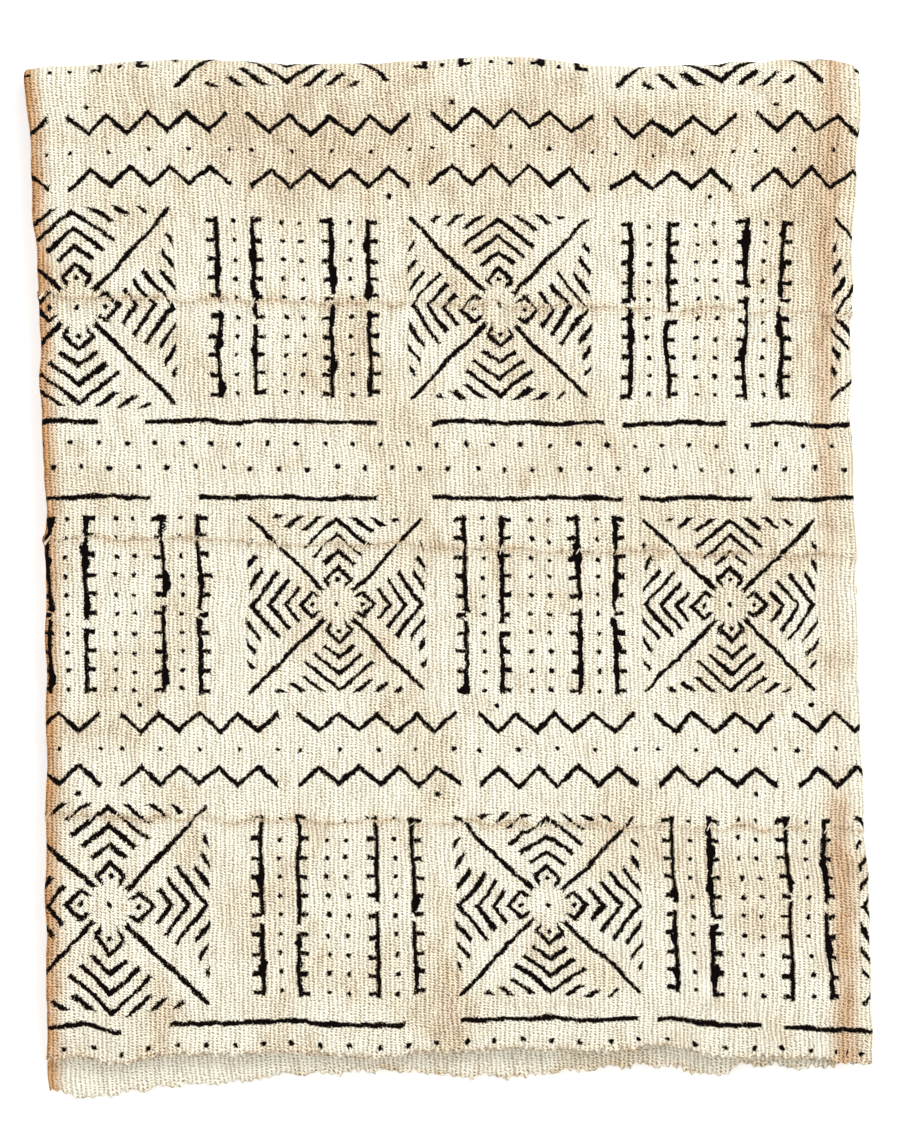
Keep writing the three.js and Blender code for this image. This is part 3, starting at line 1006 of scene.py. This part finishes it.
    def depth(self, width, blob):
        """The depth of the marks of the row that the point is in."""
        diamonds, zigzags = self.is_kind("diamonds"), self.is_kind("zigzags")
        marks = self.diamond(width).most(self.comb(width, blob)) * diamonds
        marks = marks + self.zigzags(width) * zigzags
        return marks + self.lines(width) * (1 - diamonds - zigzags)


def weave_wires(shader, u, v, shade):
    """The floats' coverage, 1 on a float and 0 in a gap. Each rib's valley has small gaps, its
    crest has weaker ones between floats, and they are staggered from rib to rib. Shade widens
    the gaps."""
    sway = shader.noise(u, v, SWAY, detail=0) - 0.5
    fine = shader.noise(u, v + FINE_APART, FINE, detail=0) - 0.5
    pick = u + sway * PICK_SWAY + fine * PICK_FINE
    slant = v + pick * SLANT_PICK + fine * SLANT_FINE
    valley = 0.5 - shader.cosine(pick, RIB) * 0.5
    wave = shader.cosine(slant, FLOAT)
    cross, crest = shader.sine(pick, 2 * RIB) * wave, shader.cosine(pick, 2 * RIB) * wave
    grain = shader.noise(u, v, GRAIN, detail=0) - 0.5
    streak = shader.noise(u, v * STREAK_STRETCH, STREAK, detail=0) - 0.5
    deep = valley * (cross * VALLEY_TICK + VALLEY_DEPTH)
    deep = deep + (1 - valley) * (crest * CREST_TICK + CREST_DEPTH)
    deep = deep + grain * DEEP_GRAIN + streak * DEEP_STREAK + shade * DEEP_STAIN
    return 1 - ((deep - GAP_START) / GAP_SPAN).clamp(), grain


def cotton_material():
    """Coarse cream cotton: a rib for each weft with staggered floats on it, dark tan in the gaps
    as painted shade of their hollows, warm stains, tan at the seams as soiling and painted shade,
    brown folds as staining and painted shade, and near-black painted marks whose edges follow the
    weave."""
    shader = Shader("painted_cotton")
    u, v = shader.uv("cloth")
    row_u, row_v = shader.uv("marks")
    edge, painted = shader.field("edge"), shader.field("painted")

    broad = shader.noise(u, v, BROAD, detail=1)
    cloud = shader.noise(u, v, CLOUD, detail=3)
    tan_share = (broad - BROAD_STAIN["from"]).step(0, BROAD_STAIN["over"]) * BROAD_STAIN["share"]
    clouds = (cloud - CLOUD_STAIN["from"]).step(0, CLOUD_STAIN["over"]) * CLOUD_STAIN["share"]
    spots = shader.field("tan_share") * (cloud * SPOT_CLOUD + SPOT_EVEN)
    # Tan near each long edge: soiling, and painted shade beside the seams' ridges
    tan_tint = (edge * SOIL_AND_SHADE_FADE).math("EXPONENT") * (cloud * SOIL_AND_SHADE_CLOUD - SOIL_AND_SHADE_CLEAN)
    # The folds' brown: staining, and painted shade on the left fold's roll and the right crease
    fold = (shader.field("fold") * (cloud * FOLD_CLOUD + FOLD_EVEN)).clamp()
    # All the tan together: stains and spots, with the painted shade of seams and folds
    tan_share = (tan_share + clouds + spots + tan_tint + fold).clamp()

    weave, grain = weave_wires(shader, u, v, tan_share)
    # The gaps' dark colours are painted shade in the hollows between the floats
    gap = shader.mix(fold, shader.mix(tan_share, PALE_GAP_SHADE, TAN_GAP_SHADE), FOLD_GAP_SHADE)
    high = shader.mix(fold, shader.mix(tan_share, PALE_FLOAT, TAN_FLOAT), FOLD_FLOAT)
    bare = shader.mix(weave, gap, high)

    shake = shader.noise(u, v + SHAKE_APART, SHAKE, detail=0) - 0.5
    other_shake = shader.noise(u + OTHER_SHAKE_APART, v, SHAKE, detail=0) - 0.5
    painting = Painting(shader, row_u + shake * HAND_SHAKE, row_v + other_shake * HAND_SHAKE)
    load = shader.noise(u, v + LOAD_APART, LOAD, detail=1) - 0.5
    blob = (load - BLOB["from"]).step(0, BLOB["over"]) * BLOB["size"]
    ragged = (weave - SOAK["weave"]) * (SOAK["dry"] - load) + grain * SOAK["grain"]
    worn = (edge * WORN_FADE).math("EXPONENT") * cloud * WORN_CLOUD
    depth = painting.depth(load * BRUSH_LOAD + BRUSH, blob) + ragged - worn
    ink = depth.step(-SOAK["blur"], SOAK["blur"]) * painted * (1 - (v > BARE_FROM))
    colour = shader.mix(ink, bare, INK)

    height = weave * BUMP_WEAVE + grain * BUMP_GRAIN
    normal = shader.node(
        "ShaderNodeBump", {}, {"Strength": 0.9, "Distance": 0.4 * MM, "Height": height}
    )
    sockets = {
        "Base Color": colour,
        "Roughness": ROUGH - ink * ROUGH_INK,
        "Normal": normal,
        "Specular IOR Level": SHINE,
    }
    surface = shader.node("ShaderNodeBsdfPrincipled", {}, sockets)
    shader.node("ShaderNodeOutputMaterial", {}, {"Surface": surface})
    return shader.material


def thread_material():
    """Loosely spun sewing cotton: cream with tan where it is soiled, and a twist along it."""
    shader = Shader("sewing_cotton")
    u, v = shader.uv("cloth")
    tan_tint = shader.noise(u, v, THREAD_SOIL["size"], detail=3)
    tan_tint = tan_tint.step(THREAD_SOIL["from"], THREAD_SOIL["to"])
    twist = shader.sine(u * TWIST["lean"] + v, TWIST["pitch"])
    sockets = {
        "Base Color": shader.mix(tan_tint + twist * TWIST["shade"], THREAD_PALE, THREAD_TAN),
        "Roughness": ROUGH,
        "Normal": shader.node(
            "ShaderNodeBump", {}, {"Strength": 0.6, "Distance": 0.1 * MM, "Height": twist}
        ),
        "Specular IOR Level": SHINE,
    }
    surface = shader.node("ShaderNodeBsdfPrincipled", {}, sockets)
    shader.node("ShaderNodeOutputMaterial", {}, {"Surface": surface})
    return shader.material


def make_camera(shift):
    """Straight above the cloth, far enough for a flat view, framed as in the photograph."""
    camera = bpy.data.cameras.new("camera")
    eye = bpy.data.objects.new("camera", camera)
    bpy.context.scene.collection.objects.link(eye)
    bpy.context.scene.camera = eye
    camera.sensor_fit = "AUTO"
    camera.sensor_width = CAMERA_SENSOR
    camera.lens = CAMERA_SENSOR * CAMERA_RISE / (IMAGE_HEIGHT * PIXEL * MM)
    camera.clip_end = CAMERA_REACH
    x = (IMAGE_WIDTH / 2 - PICTURE_CENTRE_X) * PIXEL * MM + shift[0]
    y = (FRONT_EDGE_PIXEL - PICTURE_CENTRE_Y) * PIXEL * MM + shift[1]
    eye.location = (x, y, CAD_BOX[1][2] + CAMERA_RISE)


def make_light(name, place, size, power):
    """A square soft light that faces the cloth."""
    lamp = bpy.data.lights.new(name, "AREA")
    lamp.shape = "SQUARE"
    lamp.size, lamp.energy = size, power
    holder = bpy.data.objects.new(name, lamp)
    holder.location = place
    holder.rotation_euler = (-Vector(place)).to_track_quat("-Z", "Y").to_euler()
    bpy.context.scene.collection.objects.link(holder)


def make_studio():
    """A pale floor, an even pale sky and soft lights, the main one from the upper right."""
    mesh = bpy.data.meshes.new("floor")
    signs = ((-1, -1), (1, -1), (1, 1), (-1, 1))
    corners = [(x * FLOOR_HALF, y * FLOOR_HALF, -FLOOR_GAP) for x, y in signs]
    mesh.from_pydata(corners, [], [(0, 1, 2, 3)])
    floor = bpy.data.objects.new("floor", mesh)
    bpy.context.scene.collection.objects.link(floor)
    shader = Shader("floor_paper")
    sockets = {
        "Base Color": (FLOOR_TONE, FLOOR_TONE, FLOOR_TONE, 1),
        "Roughness": 0.9,
        "Emission Color": (1, 1, 1, 1),
        "Emission Strength": FLOOR_GLOW,
    }
    surface = shader.node("ShaderNodeBsdfPrincipled", {}, sockets)
    shader.node("ShaderNodeOutputMaterial", {}, {"Surface": surface})
    mesh.materials.append(shader.material)
    world = bpy.data.worlds.new("sky")
    world.use_nodes = True
    background = world.node_tree.nodes["Background"]
    background.inputs["Color"].default_value = (1, 1, 1, 1)
    background.inputs["Strength"].default_value = SKY_STRENGTH
    bpy.context.scene.world = world
    for light in LIGHTS:
        make_light(**light)


strips = make_cloth()
seams = make_seams()
seams.append(make_loops("front_edge_loops", 0, -1, seed=5))
seams.append(make_loops("back_edge_loops", CLOTH_WIDTH, 1, seed=6))
shift = centre_on_frame(strips, seams)
cotton = cotton_material()
for piece, (node, width) in zip(strips, STRIP_WIDTHS.items()):
    piece.data.materials.append(cotton)
    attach(piece, "root")
    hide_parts(node)
thread = thread_material()
for piece in seams:
    piece.data.materials.append(thread)
    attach(piece, "root")
make_camera(shift)
make_studio()
bpy.context.scene.view_settings.view_transform = "Standard"
